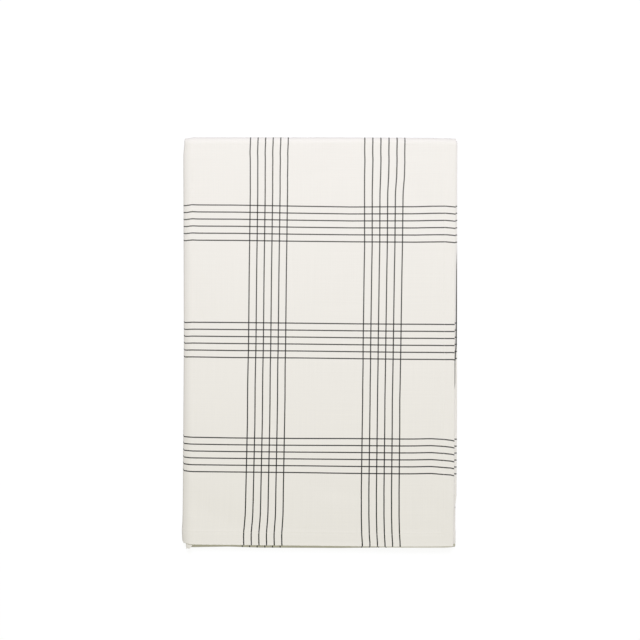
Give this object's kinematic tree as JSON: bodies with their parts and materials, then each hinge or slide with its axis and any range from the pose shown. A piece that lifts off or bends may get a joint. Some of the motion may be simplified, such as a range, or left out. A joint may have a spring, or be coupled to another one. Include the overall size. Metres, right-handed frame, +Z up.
{
  "type": "folded tablecloth",
  "caption": "Rectangular woven cotton tablecloth with narrow hems and a fine windowpane line check, folded flat in quarters both ways.",
  "frame": {"origin": "centre of the underside of the folded stack, on the surface that it rests on", "axes": "+Z up, through the layers; +Y along the length, towards the fold that wraps the whole stack; +X towards the hemmed edge of the top layer"},
  "size_m": [0.4072, 0.6096, 0.0214],
  "materials": {
    "cloth": "matte off-white plain-weave cotton with dark navy-grey lines"
  },
  "bodies": {
    "root": {"tablecloth": "cloth"}
  },
  "joints": []
}
